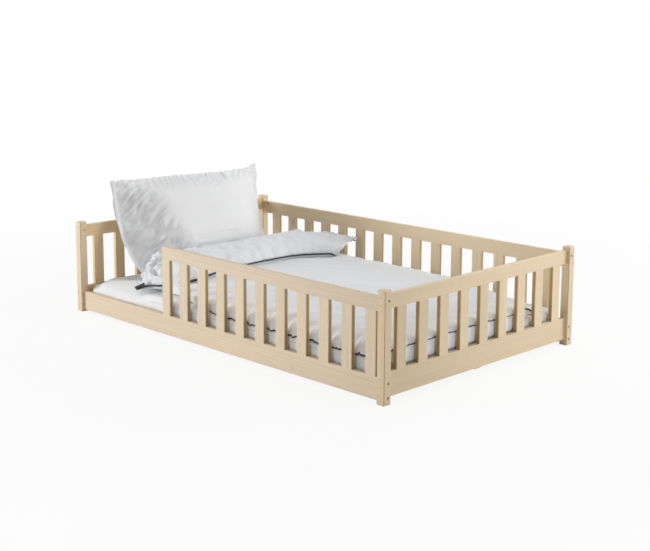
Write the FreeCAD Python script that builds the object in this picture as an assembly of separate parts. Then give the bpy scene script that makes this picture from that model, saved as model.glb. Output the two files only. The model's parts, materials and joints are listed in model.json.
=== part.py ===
import FreeCAD, Part
import math
import os

from FreeCAD import Vector

# A low kids bed in solid pine: four posts, slatted head, foot and back, and a front guard with an entry.
# Millimetres. Origin on the floor under the frame's middle, +X to the foot, -Y the entry side, +Z up.

# Mattress and the room round it
MATTRESS_LENGTH = 1990.0
MATTRESS_WIDTH = 1190.0
MATTRESS_THICK = 113.0
MATTRESS_CORNER = 60.0
MATTRESS_EDGE = 24.0
MATTRESS_ROOM = 5.0
SHEET_THICK = 1.2
SHEET_HEM = 130.0
SOFT_GAP = 0.3

# Posts
POST_SIDE = 40.0
POST_HEIGHT = 457.0
POST_ROUND = 3.5

# Rails: one thickness all round, set back from the posts' outer faces
RAIL_THICK = 20.0
RAIL_SETBACK = 14.0
RAIL_ROUND = 3.0
LONG_BOTTOM_Z = 10.0
LONG_BOTTOM_HEIGHT = 94.0
LONG_TOP_DROP = 29.0
FRONT_TOP_HEIGHT = 60.0
BACK_TOP_HEIGHT = 66.0
END_BOTTOM_Z = 26.0
END_BOTTOM_HEIGHT = 102.0
END_TOP_DROP = 17.0
END_TOP_HEIGHT = 60.0

# Guard slats, flush with the rails, with a stub tenon at each end
SLAT_WIDTH = 55.0
SLAT_ROUND = 2.0
BACK_SLATS = 15
FRONT_SLATS = 11
FRONT_END_GAP = 19.0
END_SLATS = 9
END_EDGE_GAP = 48.5
TENON_LENGTH = 10.0
TENON_SHOULDER = 10.0
TENON_CHEEK = 5.0
TENON_PLAY = 0.15

# Bolts along the length, from the posts into barrel nuts in the long rails
BOLT_DIAMETER = 6.0
BOLT_HOLE = 7.0
BOLT_HEAD_DIAMETER = 10.0
BOLT_HEAD_HEIGHT = 6.0
BOLT_SOCKET = 5.0
BOLT_SOCKET_DEPTH = 3.5
BOLT_HEAD_PLAY = 0.5
BOLT_RECESS = 1.0
BOLT_EDGE = 18.0
TOP_BOLT_EDGE = 13.0
NUT_DIAMETER = 10.0
NUT_LENGTH = 15.0
NUT_INSET = 35.0
NUT_PLAY = 0.1
BOLT_PAST_NUT = 4.0

# Dowels across the width, through the posts into the ends of the head and foot rails
DOWEL_DIAMETER = 8.0
DOWEL_IN_RAIL = 40.0
DOWEL_PITCH = 32.0
DOWEL_PLAY = 0.05
BOTTOM_DOWELS = 3
BOTTOM_DOWEL_EDGE = 12.0
TOP_DOWELS = 2
TOP_DOWEL_EDGE = 16.0

# Slatted base: slats on two ledgers and a centre beam
BASE_TOP_Z = 50.0
BASE_SLATS = 15
BASE_SLAT_WIDTH = 70.0
BASE_SLAT_THICK = 16.0
BASE_SLAT_ROUND = 2.0
BASE_SLAT_PLAY = 2.0
BASE_END_GAP = 18.0
LEDGER_WIDTH = 22.0
LEDGER_HEIGHT = 22.0
LEDGER_END_PLAY = 1.0
BEAM_WIDTH = 40.0
BEAM_HEIGHT = 24.0
BEAM_END_PLAY = 2.0
FOOT_COUNT = 3
FOOT_LENGTH = 60.0
FOOT_END_INSET = 250.0
TAPE_WIDTH = 25.0
TAPE_THICK = 1.0
TAPE_OFFSET = 330.0
SCREW_DIAMETER = 4.0
SCREW_HEAD = 8.0
SCREW_PLAY = 0.05
SLAT_SCREW_LENGTH = 32.0
LEDGER_SCREW_LENGTH = 36.0
LEDGER_SCREWS = 7
LEDGER_SCREW_INSET = 120.0

# Duvet: laid on the sheet, turned back near the pillow
DUVET_SIDE_INSET = 4.0
DUVET_FOOT_INSET = 8.0
DUVET_CROWN = 5.0
FOLD_NOSE_FROM_HEAD = 335.0
FOLD_LIP = 26.0
# Shares of the duvet's loft height that shape its foot end
FOOT_TOE = 0.45
FOOT_SHOULDER_IN = 0.75
FOOT_SHOULDER_UP = 0.92
# Shares of the fold's height that shape its lip, its slope and its nose
LIP_UP = 0.36
LIP_BULGE = 0.2
SLOPE_BULGE = 1.16
NAPE_IN = 0.35
NOSE_UP = 0.5
HEEL_IN = 0.2
# Each row: share of the way from the front edge to the back edge, loft height of the duvet and of
# the fold over the sheet, and how far the turned-back hem lies towards the foot from the fold's nose
DUVET_ROWS = (
    (0.000, 14.0, 28.0, 90.0),
    (0.030, 42.0, 82.0, 130.0),
    (0.100, 60.0, 130.0, 235.0),
    (0.300, 67.0, 158.0, 275.0),
    (0.560, 70.0, 162.0, 280.0),
    (0.800, 70.0, 147.0, 335.0),
    (0.930, 62.0, 138.0, 400.0),
    (0.985, 44.0, 122.0, 375.0),
    (1.000, 18.0, 92.0, 345.0),
)

# Pillow: leaning on the head rail, crowned, with its sides drawn in
PILLOW_WIDTH = 1005.0
PILLOW_HEIGHT = 531.0
PILLOW_FRONT = 180.0
PILLOW_BACK = 110.0
PILLOW_SEAM = 6.0
PILLOW_FROM_HEAD = 225.0
PILLOW_TOP_DRAW = 28.0
PILLOW_SIDE_DRAW = 60.0
# Share of the height at which the sides are drawn in most
PILLOW_DRAW_UP = 0.2
# The front's profile: share of the height, and share of the full depth there, as the filling sinks
PILLOW_SINK = ((0.12, 0.66), (0.32, 1.0), (0.52, 0.84), (0.76, 0.46))
# Share of the room beside the pillow by which it lies towards the back
PILLOW_OFF_MIDDLE = 0.43
# Each row: distance from the middle as a share of half the width, and share of the full crown there
PILLOW_ROWS = (
    (-1.00, 0.02),
    (-0.90, 0.10),
    (-0.77, 0.36),
    (-0.60, 0.70),
    (-0.38, 0.94),
    (0.00, 1.00),
    (0.38, 0.94),
    (0.60, 0.74),
    (0.77, 0.40),
    (0.90, 0.11),
    (1.00, 0.02),
)

# Places worked out from the sizes
ROOM_LENGTH = MATTRESS_LENGTH + 2 * MATTRESS_ROOM
ROOM_WIDTH = MATTRESS_WIDTH + 2 * MATTRESS_ROOM
POST_IN_X = ROOM_LENGTH / 2
POST_IN_Y = ROOM_WIDTH / 2
POST_OUT_X = POST_IN_X + POST_SIDE
POST_OUT_Y = POST_IN_Y + POST_SIDE
RAIL_MID = RAIL_SETBACK + RAIL_THICK / 2
LONG_RAIL_Y = POST_OUT_Y - RAIL_MID
END_RAIL_X = POST_OUT_X - RAIL_MID
LONG_INNER_Y = LONG_RAIL_Y - RAIL_THICK / 2
END_INNER_X = END_RAIL_X - RAIL_THICK / 2
LONG_BOTTOM_TOP = LONG_BOTTOM_Z + LONG_BOTTOM_HEIGHT
LONG_TOP_TOP = POST_HEIGHT - LONG_TOP_DROP
END_BOTTOM_TOP = END_BOTTOM_Z + END_BOTTOM_HEIGHT
END_TOP_TOP = POST_HEIGHT - END_TOP_DROP
FRONT_TOP_Z = LONG_TOP_TOP - FRONT_TOP_HEIGHT
BACK_TOP_Z = LONG_TOP_TOP - BACK_TOP_HEIGHT
END_TOP_Z = END_TOP_TOP - END_TOP_HEIGHT
LONG_PITCH = (ROOM_LENGTH + SLAT_WIDTH) / (BACK_SLATS + 1)
END_PITCH = (ROOM_WIDTH - 2 * END_EDGE_GAP - SLAT_WIDTH) / (END_SLATS - 1)
GUARD_FREE_X = POST_IN_X - FRONT_END_GAP - SLAT_WIDTH - (FRONT_SLATS - 1) * LONG_PITCH
BOTTOM_BOLT_Z = (LONG_BOTTOM_Z + BOLT_EDGE, LONG_BOTTOM_TOP - BOLT_EDGE)
TOP_BOLT_Z = LONG_TOP_TOP - TOP_BOLT_EDGE
DOWEL_Z = [END_BOTTOM_Z + BOTTOM_DOWEL_EDGE + i * DOWEL_PITCH for i in range(BOTTOM_DOWELS)]
DOWEL_Z += [END_TOP_Z + TOP_DOWEL_EDGE + i * DOWEL_PITCH for i in range(TOP_DOWELS)]
HEAD_SEAT = BOLT_RECESS + BOLT_HEAD_HEIGHT
BASE_SLAT_Z = BASE_TOP_Z - BASE_SLAT_THICK
MATTRESS_Z = BASE_TOP_Z + SHEET_THICK + SOFT_GAP
SHEET_TOP_Z = MATTRESS_Z + MATTRESS_THICK + SOFT_GAP + SHEET_THICK
BEDDING_Z = SHEET_TOP_Z + SOFT_GAP
PILLOW_SHIFT = PILLOW_OFF_MIDDLE * (ROOM_WIDTH - PILLOW_WIDTH) / 2
X_AXIS = Vector(1, 0, 0)
Y_AXIS = Vector(0, 1, 0)
Z_AXIS = Vector(0, 0, 1)


def save(name, solids):
    """Writes one piece, or a group of like pieces, as one named file."""
    shape = solids if isinstance(solids, Part.Shape) else Part.makeCompound(solids)
    shape.exportStep("parts/" + name + ".step")


def block(x, y, z):
    """A box from three (low, high) pairs."""
    return Part.makeBox(x[1] - x[0], y[1] - y[0], z[1] - z[0], Vector(x[0], y[0], z[0]))


def centred(middle, size):
    """The (low, high) pair of a size about its middle."""
    return (middle - size / 2, middle + size / 2)


def round_edges(solid, radius, wanted):
    """Rounds the straight edges whose direction and middle point are wanted."""
    picked = []
    for edge in solid.Edges:
        if isinstance(edge.Curve, Part.Line) and wanted(edge.Curve.Direction, edge.CenterOfMass):
            picked.append(edge)
    return solid.makeFillet(radius, picked)


def along(direction, axis):
    """Whether a direction runs along an axis."""
    return abs(direction.dot(axis)) > 0.99


def rod(diameter, start, axis, length):
    """A round bar from a point, along an axis."""
    return Part.makeCylinder(diameter / 2, length, start, axis)


def post(end, side):
    """A square post with eased edges, its bolt holes along X and its dowel holes along Y."""
    x = sorted((end * POST_IN_X, end * POST_OUT_X))
    y = sorted((side * POST_IN_Y, side * POST_OUT_Y))
    solid = block(x, y, (0.0, POST_HEIGHT))
    solid = round_edges(solid, POST_ROUND, lambda d, c: along(d, Z_AXIS) or c.z > POST_HEIGHT - POST_ROUND)
    for z in (*BOTTOM_BOLT_Z, TOP_BOLT_Z):
        start = Vector(end * POST_OUT_X, side * LONG_RAIL_Y, z)
        inward = X_AXIS * -end
        solid = solid.cut(rod(BOLT_HOLE, start, inward, POST_SIDE))
        solid = solid.cut(rod(BOLT_HEAD_DIAMETER + 2 * BOLT_HEAD_PLAY, start, inward, HEAD_SEAT))
    for z in DOWEL_Z:
        start = Vector(end * END_RAIL_X, side * POST_OUT_Y, z)
        solid = solid.cut(rod(DOWEL_DIAMETER + 2 * DOWEL_PLAY, start, Y_AXIS * -side, POST_SIDE))
    return solid


def mortise(middle, z, axis):
    """The pocket for one stub tenon, opening at a rail's edge at height z."""
    width = SLAT_WIDTH - 2 * TENON_SHOULDER + 2 * TENON_PLAY
    thick = RAIL_THICK - 2 * TENON_CHEEK + 2 * TENON_PLAY
    deep = TENON_LENGTH + 2 * TENON_PLAY
    sizes = (width, thick) if axis == X_AXIS else (thick, width)
    return block(centred(middle.x, sizes[0]), centred(middle.y, sizes[1]), (z, z + deep))


def long_rail(side, x, z, slats_x, slats_above, bolts):
    """A rail along the length: eased outer edges, mortises, and bolt and nut holes at its bolted ends."""
    solid = block(x, centred(side * LONG_RAIL_Y, RAIL_THICK), z)
    outer_z = z[0] if slats_above else z[1]
    solid = round_edges(solid, RAIL_ROUND, lambda d, c: along(d, X_AXIS) and abs(c.z - outer_z) < RAIL_ROUND)
    mouth = z[1] - TENON_LENGTH - 2 * TENON_PLAY if slats_above else z[0]
    for slat_x in slats_x:
        solid = solid.cut(mortise(Vector(slat_x, side * LONG_RAIL_Y, 0), mouth, X_AXIS))
    bore = NUT_INSET + NUT_DIAMETER / 2 + 2 * BOLT_PAST_NUT
    for end, bolt_z in bolts:
        start = Vector(end * POST_IN_X, side * LONG_RAIL_Y, bolt_z)
        solid = solid.cut(rod(BOLT_HOLE, start, X_AXIS * -end, bore))
        pocket = Vector(end * (POST_IN_X - NUT_INSET), side * LONG_INNER_Y, bolt_z)
        deep = RAIL_THICK / 2 + NUT_LENGTH / 2 + NUT_PLAY
        solid = solid.cut(rod(NUT_DIAMETER + 2 * NUT_PLAY, pocket, Y_AXIS * side, deep))
    return solid


def end_rail(end, z, slats_y, slats_above, dowels_z):
    """A rail across the width: eased outer edges, mortises, and dowel holes in both ends."""
    solid = block(centred(end * END_RAIL_X, RAIL_THICK), (-POST_IN_Y, POST_IN_Y), z)
    outer_z = z[0] if slats_above else z[1]
    solid = round_edges(solid, RAIL_ROUND, lambda d, c: along(d, Y_AXIS) and abs(c.z - outer_z) < RAIL_ROUND)
    mouth = z[1] - TENON_LENGTH - 2 * TENON_PLAY if slats_above else z[0]
    for slat_y in slats_y:
        solid = solid.cut(mortise(Vector(end * END_RAIL_X, slat_y, 0), mouth, Y_AXIS))
    for side in (-1, 1):
        for dowel_z in dowels_z:
            start = Vector(end * END_RAIL_X, side * POST_IN_Y, dowel_z)
            hole = rod(DOWEL_DIAMETER + 2 * DOWEL_PLAY, start, Y_AXIS * -side, DOWEL_IN_RAIL + DOWEL_PLAY)
            solid = solid.cut(hole)
    return solid


def slat(middle, z, axis):
    """An upright slat with eased edges between two rails, and a stub tenon at each end."""
    sizes = (SLAT_WIDTH, RAIL_THICK) if axis == X_AXIS else (RAIL_THICK, SLAT_WIDTH)
    body = block(centred(middle.x, sizes[0]), centred(middle.y, sizes[1]), z)
    body = round_edges(body, SLAT_ROUND, lambda d, c: along(d, Z_AXIS))
    inset = (TENON_SHOULDER, TENON_CHEEK) if axis == X_AXIS else (TENON_CHEEK, TENON_SHOULDER)
    tenon = block(
        centred(middle.x, sizes[0] - 2 * inset[0]),
        centred(middle.y, sizes[1] - 2 * inset[1]),
        (z[0] - TENON_LENGTH, z[1] + TENON_LENGTH),
    )
    return body.fuse(tenon).removeSplitter()


def bolt(end, side, z):
    """A socket-head bolt, its head sunk in the post and its shank reaching past the barrel nut."""
    inward = X_AXIS * -end
    head_at = Vector(end * (POST_OUT_X - BOLT_RECESS), side * LONG_RAIL_Y, z)
    head = rod(BOLT_HEAD_DIAMETER, head_at, inward, BOLT_HEAD_HEIGHT)
    shank_length = POST_SIDE - BOLT_RECESS + NUT_INSET + NUT_DIAMETER / 2 + BOLT_PAST_NUT
    solid = head.fuse(rod(BOLT_DIAMETER, head_at, inward, shank_length)).removeSplitter()
    corners = [
        head_at + Vector(0, math.cos(a), math.sin(a)) * (BOLT_SOCKET / math.sqrt(3))
        for a in (math.radians(60 * i) for i in range(6))
    ]
    socket = Part.Face(Part.makePolygon(corners + corners[:1])).extrude(inward * BOLT_SOCKET_DEPTH)
    return solid.cut(socket)


def barrel_nut(end, side, z):
    """A round cross nut in the rail, bored for the bolt."""
    middle = Vector(end * (POST_IN_X - NUT_INSET), side * LONG_RAIL_Y, z)
    body = rod(NUT_DIAMETER, middle - Y_AXIS * (NUT_LENGTH / 2), Y_AXIS, NUT_LENGTH)
    bore = rod(BOLT_DIAMETER + 2 * NUT_PLAY, middle - X_AXIS * NUT_DIAMETER, X_AXIS, 2 * NUT_DIAMETER)
    return body.cut(bore)


def dowel(end, side, z):
    """A plain dowel, flush with the post's outer face and let into the rail."""
    start = Vector(end * END_RAIL_X, side * POST_OUT_Y, z)
    return rod(DOWEL_DIAMETER, start, Y_AXIS * -side, POST_SIDE + DOWEL_IN_RAIL)


def screw(start, direction, length, play=0.0):
    """A countersunk screw, flush at its start point, or with play the hole that takes it."""
    head = SCREW_HEAD / 2 + play
    shank = SCREW_DIAMETER / 2 + play
    tip = length + play
    corners = [Vector(0, 0, 0), Vector(head, 0, 0), Vector(shank, 0, head - shank)]
    corners += [Vector(shank, 0, tip), Vector(0, 0, tip)]
    profile = Part.Face(Part.makePolygon(corners + corners[:1]))
    solid = profile.revolve(Vector(0, 0, 0), Z_AXIS, 360)
    solid.Placement = FreeCAD.Placement(start, FreeCAD.Rotation(Z_AXIS, direction))
    return solid


def spread(count, low, high):
    """Evenly spaced places from low to high."""
    return [low + i * (high - low) / (count - 1) for i in range(count)]


def padded_block(grow, z, edge):
    """A mattress-shaped block with round corners and soft rims, larger all round by grow."""
    half_x = MATTRESS_LENGTH / 2 + grow
    half_y = MATTRESS_WIDTH / 2 + grow
    solid = block((-half_x, half_x), (-half_y, half_y), z)
    solid = round_edges(solid, MATTRESS_CORNER + grow, lambda d, c: along(d, Z_AXIS))
    rims = [e for e in solid.Edges if e.BoundBox.ZLength < 0.01]
    return solid.makeFillet(edge, rims)


def arc(start, through, end):
    """An arc edge through three points."""
    return Part.Arc(start, through, end).toShape()


def line(start, end):
    """A straight edge."""
    return Part.LineSegment(start, end).toShape()


def duvet():
    """Sections along the length, lofted from front to back: puffed edges, crown and turned-back fold."""
    half_y = MATTRESS_WIDTH / 2 - DUVET_SIDE_INSET
    foot = MATTRESS_LENGTH / 2 - DUVET_FOOT_INSET
    nose = -MATTRESS_LENGTH / 2 + FOLD_NOSE_FROM_HEAD
    sections = []
    for share, puff, fold, turned in DUVET_ROWS:
        y = half_y * (2 * share - 1)

        def at(x, height):
            return Vector(x, y, BEDDING_Z + height)

        toe = at(foot - puff * FOOT_TOE, 0)
        shoulder = at(foot - puff * FOOT_SHOULDER_IN, puff * FOOT_SHOULDER_UP)
        hem = at(nose + turned, puff)
        lip_up = puff + (fold - puff) * LIP_UP
        lip = at(hem.x - FOLD_LIP, lip_up)
        nape = at(nose + fold * NAPE_IN, fold)
        heel = at(nose + fold * HEEL_IN, 0)
        crown = at((shoulder.x + hem.x) / 2, puff + DUVET_CROWN)
        bulge = at(hem.x + FOLD_LIP * LIP_BULGE, (puff + lip_up) / 2)
        slope = at((hem.x + nape.x) / 2, (lip_up + fold * SLOPE_BULGE) / 2)
        edges = [
            line(heel, toe),
            arc(toe, at(foot, puff * FOOT_TOE), shoulder),
            arc(shoulder, crown, hem),
            arc(hem, bulge, lip),
            arc(lip, slope, nape),
            arc(nape, at(nose, fold * NOSE_UP), heel),
        ]
        sections.append(Part.Wire(edges))
    return Part.makeLoft(sections, True, False)


def pillow_lean(height, seam):
    """The angle from upright at which the pillow's back meets the inner top edge of the head rail."""
    radius = (height**2 / 4 + PILLOW_BACK**2) / (2 * PILLOW_BACK)
    centre_up = height / 2
    centre_out = radius - PILLOW_BACK - seam
    edge_back = END_INNER_X - MATTRESS_LENGTH / 2 + PILLOW_FROM_HEAD
    edge_up = END_TOP_TOP - BEDDING_Z - seam
    centre_far = math.hypot(centre_up, centre_out)
    edge_far = math.hypot(edge_back, edge_up)
    reach = radius + SOFT_GAP
    between = (centre_far**2 + edge_far**2 - reach**2) / (2 * centre_far * edge_far)
    centre_tilt = math.atan2(edge_back, edge_up) - math.acos(between)
    return centre_tilt + math.atan2(centre_out, centre_up)


def pillow():
    """Lens sections up the height, lofted from side to side, with the sides drawn in, then leaned back."""
    half = PILLOW_WIDTH / 2
    seam = PILLOW_SEAM / 2
    sections = []
    for share, crown in PILLOW_ROWS:
        y = share * half
        top = PILLOW_HEIGHT - PILLOW_TOP_DRAW * (1 - share**2)

        def at(up, out):
            return Vector(out, y, up)

        sunk = [at(up * top, seam + PILLOW_FRONT * crown * deep) for up, deep in PILLOW_SINK]
        front = Part.BSplineCurve()
        front.interpolate([at(0, seam), *sunk, at(top, seam)])
        back = seam + PILLOW_BACK * crown
        edges = [
            line(at(0, -seam), at(0, seam)),
            front.toShape(),
            line(at(top, seam), at(top, -seam)),
            arc(at(top, -seam), at(top / 2, -back), at(0, -seam)),
        ]
        sections.append(Part.Wire(edges))
    solid = Part.makeLoft(sections, True, False)
    draw_up = PILLOW_DRAW_UP * PILLOW_HEIGHT
    draw_radius = ((PILLOW_HEIGHT - draw_up) ** 2 + PILLOW_SIDE_DRAW**2) / (2 * PILLOW_SIDE_DRAW)
    for side in (-1, 1):
        axis_y = side * (half + draw_radius - PILLOW_SIDE_DRAW)
        start = Vector(-2 * PILLOW_BACK, axis_y, draw_up)
        solid = solid.cut(rod(2 * draw_radius, start, X_AXIS, 2 * PILLOW_BACK + 2 * PILLOW_FRONT))
    lean = FreeCAD.Rotation(Y_AXIS, -math.degrees(pillow_lean(PILLOW_HEIGHT - PILLOW_TOP_DRAW, seam)))
    place = Vector(-MATTRESS_LENGTH / 2 + PILLOW_FROM_HEAD, PILLOW_SHIFT, BEDDING_Z + seam)
    solid.Placement = FreeCAD.Placement(place, lean)
    return solid


os.makedirs("parts", exist_ok=True)

back_x = [-POST_IN_X + (i + 1) * LONG_PITCH - SLAT_WIDTH / 2 for i in range(BACK_SLATS)]
front_x = [GUARD_FREE_X + SLAT_WIDTH / 2 + i * LONG_PITCH for i in range(FRONT_SLATS)]
end_y = [(i - (END_SLATS - 1) / 2) * END_PITCH for i in range(END_SLATS)]
full_length = (-POST_IN_X, POST_IN_X)
bottom_bolts = [(end, z) for end in (-1, 1) for z in BOTTOM_BOLT_Z]
back_top_bolts = [(end, TOP_BOLT_Z) for end in (-1, 1)]
guard_bolts = [(1, TOP_BOLT_Z)]
long_bottom = (LONG_BOTTOM_Z, LONG_BOTTOM_TOP)

# Posts
for end, end_name in ((-1, "head"), (1, "foot")):
    for side, side_name in ((-1, "front"), (1, "back")):
        save(f"post_{end_name}_{side_name}", post(end, side))

# Head and foot panels
for end, end_name in ((-1, "head"), (1, "foot")):
    bottom_dowels, top_dowels = DOWEL_Z[:BOTTOM_DOWELS], DOWEL_Z[BOTTOM_DOWELS:]
    save(f"{end_name}_bottom_rail", end_rail(end, (END_BOTTOM_Z, END_BOTTOM_TOP), end_y, True, bottom_dowels))
    save(f"{end_name}_top_rail", end_rail(end, (END_TOP_Z, END_TOP_TOP), end_y, False, top_dowels))
    for i, y in enumerate(end_y):
        upright = slat(Vector(end * END_RAIL_X, y, 0), (END_BOTTOM_TOP, END_TOP_Z), Y_AXIS)
        save(f"{end_name}_slat_{i + 1}", upright)

# Back guard
save("back_top_rail", long_rail(1, full_length, (BACK_TOP_Z, LONG_TOP_TOP), back_x, False, back_top_bolts))
save("back_slats", [slat(Vector(x, LONG_RAIL_Y, 0), (LONG_BOTTOM_TOP, BACK_TOP_Z), X_AXIS) for x in back_x])

# Front guard, open at the head end for the entry
guard_length = (GUARD_FREE_X, POST_IN_X)
save("guard_top_rail", long_rail(-1, guard_length, (FRONT_TOP_Z, LONG_TOP_TOP), front_x, False, guard_bolts))
for i, x in enumerate(front_x):
    upright = slat(Vector(x, -LONG_RAIL_Y, 0), (LONG_BOTTOM_TOP, FRONT_TOP_Z), X_AXIS)
    save(f"guard_slat_{i + 1}", upright)

# Bolts, barrel nuts and dowels
bolted = [(end, side, z) for side in (-1, 1) for end, z in bottom_bolts]
bolted += [(end, 1, z) for end, z in back_top_bolts] + [(end, -1, z) for end, z in guard_bolts]
save("rail_bolts", [bolt(*place) for place in bolted])
save("barrel_nuts", [barrel_nut(*place) for place in bolted])
save("rail_dowels", [dowel(end, side, z) for end in (-1, 1) for side in (-1, 1) for z in DOWEL_Z])

# Long bottom rails and the slatted base that they carry
ledger_x = (-POST_IN_X + LEDGER_END_PLAY, POST_IN_X - LEDGER_END_PLAY)
ledger_z = (BASE_SLAT_Z - LEDGER_HEIGHT, BASE_SLAT_Z)
screw_z = BASE_SLAT_Z - LEDGER_HEIGHT / 2
slat_half = LONG_INNER_Y - BASE_SLAT_PLAY
base_first = -POST_IN_X + BASE_END_GAP + BASE_SLAT_WIDTH / 2
base_x = spread(BASE_SLATS, base_first, -base_first)
ledger_middle = LONG_INNER_Y - LEDGER_WIDTH / 2
slat_screw_at = [Vector(x, s * ledger_middle, BASE_TOP_Z) for x in (base_first, -base_first) for s in (-1, 1)]
ledger_screw_x = spread(LEDGER_SCREWS, ledger_x[0] + LEDGER_SCREW_INSET, ledger_x[1] - LEDGER_SCREW_INSET)
ledger_screws = []
for side, side_name, slats_x in ((-1, "front", front_x), (1, "back", back_x)):
    inner = side * (LONG_INNER_Y - LEDGER_WIDTH)
    ledger = block(ledger_x, sorted((inner, side * LONG_INNER_Y)), ledger_z)
    rail = long_rail(side, full_length, long_bottom, slats_x, True, bottom_bolts)
    for x in ledger_screw_x:
        start = Vector(x, inner, screw_z)
        ledger_screws.append(screw(start, Y_AXIS * side, LEDGER_SCREW_LENGTH))
        hole = screw(start, Y_AXIS * side, LEDGER_SCREW_LENGTH, SCREW_PLAY)
        ledger = ledger.cut(hole)
        rail = rail.cut(hole)
    for start in slat_screw_at:
        if start.y * side > 0:
            ledger = ledger.cut(screw(start, Z_AXIS * -1, SLAT_SCREW_LENGTH, SCREW_PLAY))
    save(f"ledger_{side_name}", ledger)
    save(f"{side_name}_bottom_rail", rail)
save("ledger_screws", ledger_screws)
save("slat_screws", [screw(start, Z_AXIS * -1, SLAT_SCREW_LENGTH) for start in slat_screw_at])

base_slats = []
for x in base_x:
    board = block(centred(x, BASE_SLAT_WIDTH), (-slat_half, slat_half), (BASE_SLAT_Z, BASE_TOP_Z))
    board = round_edges(board, BASE_SLAT_ROUND, lambda d, c: along(d, Y_AXIS))
    for start in slat_screw_at:
        if abs(start.x - x) < BASE_SLAT_WIDTH / 2:
            board = board.cut(screw(start, Z_AXIS * -1, SLAT_SCREW_LENGTH, SCREW_PLAY))
    base_slats.append(board)
save("base_slats", base_slats)

beam_z = (BASE_SLAT_Z - BEAM_HEIGHT, BASE_SLAT_Z)
beam_x = (-POST_IN_X + BEAM_END_PLAY, POST_IN_X - BEAM_END_PLAY)
save("centre_beam", block(beam_x, centred(0.0, BEAM_WIDTH), beam_z))
feet_x = spread(FOOT_COUNT, beam_x[0] + FOOT_END_INSET, beam_x[1] - FOOT_END_INSET)
feet = [block(centred(x, FOOT_LENGTH), centred(0.0, BEAM_WIDTH), (0.0, beam_z[0])) for x in feet_x]
save("beam_feet", feet)
tape_x = (base_x[0] - BASE_SLAT_WIDTH / 2, base_x[-1] + BASE_SLAT_WIDTH / 2)
tape_z = (BASE_SLAT_Z - TAPE_THICK, BASE_SLAT_Z)
save("base_tapes", [block(tape_x, centred(side * TAPE_OFFSET, TAPE_WIDTH), tape_z) for side in (-1, 1)])

# Mattress and fitted sheet
save("mattress", padded_block(0.0, (MATTRESS_Z, MATTRESS_Z + MATTRESS_THICK), MATTRESS_EDGE))
sheet_in = SOFT_GAP
sheet_out = SOFT_GAP + SHEET_THICK
sheet = padded_block(sheet_out, (BASE_TOP_Z, SHEET_TOP_Z), MATTRESS_EDGE + sheet_out)
sheet_room = (MATTRESS_Z - SOFT_GAP, SHEET_TOP_Z - SHEET_THICK)
sheet = sheet.cut(padded_block(sheet_in, sheet_room, MATTRESS_EDGE + sheet_in))
hem_x = MATTRESS_LENGTH / 2 - SHEET_HEM
hem_y = MATTRESS_WIDTH / 2 - SHEET_HEM
sheet = sheet.cut(block((-hem_x, hem_x), (-hem_y, hem_y), (BASE_TOP_Z, MATTRESS_Z)))
save("fitted_sheet", sheet)

# Duvet and pillow
save("duvet", duvet())
save("pillow", pillow())
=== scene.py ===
"""Dresses the kids bed: pine frame, dark bolts, fitted sheet, a duvet turned back and a leaning pillow.

Metres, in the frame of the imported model: +X towards the foot, -Y the entry side, +Z up.
"""

import json
import logging
import math
from dataclasses import dataclass, field, replace
from enum import Enum

import bmesh
import bpy
from mathutils import Matrix, Vector, noise

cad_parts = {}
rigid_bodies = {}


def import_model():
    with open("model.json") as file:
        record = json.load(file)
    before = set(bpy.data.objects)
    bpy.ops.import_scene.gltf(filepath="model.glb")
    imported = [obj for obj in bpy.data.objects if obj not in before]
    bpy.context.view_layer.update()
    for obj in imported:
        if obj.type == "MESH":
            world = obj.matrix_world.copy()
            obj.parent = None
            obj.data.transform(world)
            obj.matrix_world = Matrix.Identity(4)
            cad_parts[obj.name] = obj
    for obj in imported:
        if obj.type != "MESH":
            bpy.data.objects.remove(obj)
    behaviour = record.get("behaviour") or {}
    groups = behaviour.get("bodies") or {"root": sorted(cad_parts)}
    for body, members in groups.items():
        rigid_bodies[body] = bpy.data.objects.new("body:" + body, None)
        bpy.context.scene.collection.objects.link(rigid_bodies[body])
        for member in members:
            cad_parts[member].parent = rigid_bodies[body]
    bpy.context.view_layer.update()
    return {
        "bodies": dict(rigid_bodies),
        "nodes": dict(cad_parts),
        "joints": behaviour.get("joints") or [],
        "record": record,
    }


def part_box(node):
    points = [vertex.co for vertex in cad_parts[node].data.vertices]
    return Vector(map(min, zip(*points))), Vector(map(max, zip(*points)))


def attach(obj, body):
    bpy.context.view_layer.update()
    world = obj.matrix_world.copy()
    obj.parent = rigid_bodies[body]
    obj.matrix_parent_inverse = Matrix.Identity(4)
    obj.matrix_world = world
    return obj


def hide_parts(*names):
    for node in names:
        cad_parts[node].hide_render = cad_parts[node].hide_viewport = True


LOG = logging.getLogger("kids_bed")
BODY = "root"
# A step longer than the bed, along an axis on which the boards don't repeat
WHOLE = 10.0
# Shares and places closer than this are the same
SAME = 1e-4
# Points closer than this are sewn into one
SEWN = 1e-5
# A wave texture's scale times the length of one wave
WAVE = 0.3142

Colour = tuple[float, float, float]
Place = tuple[float, float, float]
Pair = tuple[float, float]
Stations = tuple[tuple[float, ...], ...]
Mesh = bmesh.types.BMesh
Piece = bpy.types.Object
Material = bpy.types.Material
Socket = bpy.types.NodeSocket
Parts = bpy.types.NodeOutputs
# A node's output, or a plain value
Number = Socket | float
Triple = Socket | Place

WHITE = (1.0, 1.0, 1.0, 1.0)


def smooth(low: float, high: float, value: float) -> float:
    """Rises from 0 at low to 1 at high, without a corner at either end."""
    share = min(max((value - low) / (high - low), 0.0), 1.0)
    return share * share * (3 - 2 * share)


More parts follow.
